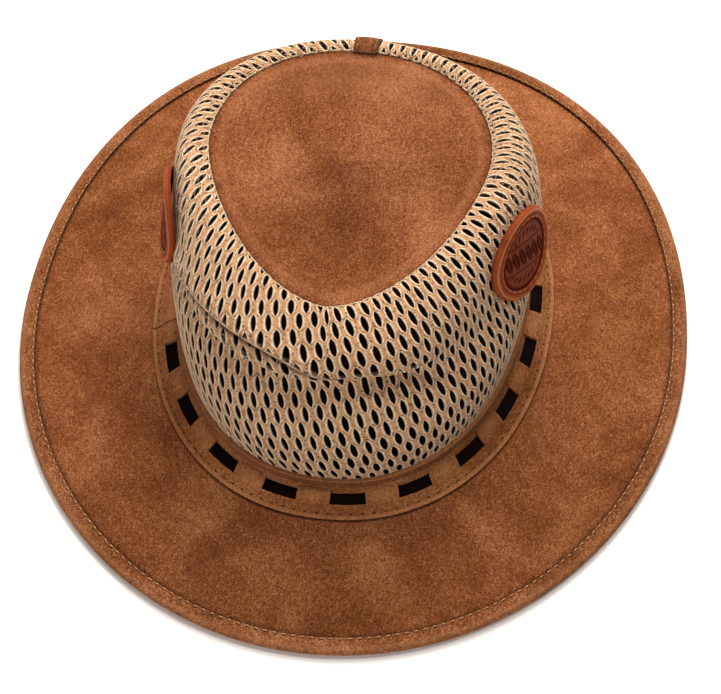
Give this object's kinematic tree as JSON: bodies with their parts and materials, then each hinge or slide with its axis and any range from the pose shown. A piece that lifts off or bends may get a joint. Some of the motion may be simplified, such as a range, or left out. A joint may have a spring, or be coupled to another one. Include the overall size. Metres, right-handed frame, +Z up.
{
  "type": "leather bush hat",
  "caption": "Wide-brimmed bush hat of brown suede with a knitted cotton crown wall, a dished suede top, a slotted band with a laced strap, and round leather side badges.",
  "frame": {"origin": "under the middle of the brim's bounding box, at the height of the surface that the brim rests on", "axes": "+Z up through the crown, -Y towards the front of the hat, +X towards the wearer's left"},
  "size_m": [0.34, 0.3798, 0.1159],
  "materials": {
    "brim_suede": "matte",
    "edge_suede": "matte",
    "band_suede": "matte",
    "dark_leather": "matte",
    "cotton_knit": "matte",
    "top_suede": "matte",
    "badge_leather": "satin"
  },
  "bodies": {
    "root": {"brim": "brim_suede", "brim_edge": "edge_suede", "hat_band": "band_suede", "band_strap": "dark_leather", "crown_mesh": "cotton_knit", "crown_top": "top_suede", "back_strip": "band_suede", "badge_right": "badge_leather", "badge_left": "badge_leather"}
  },
  "joints": []
}
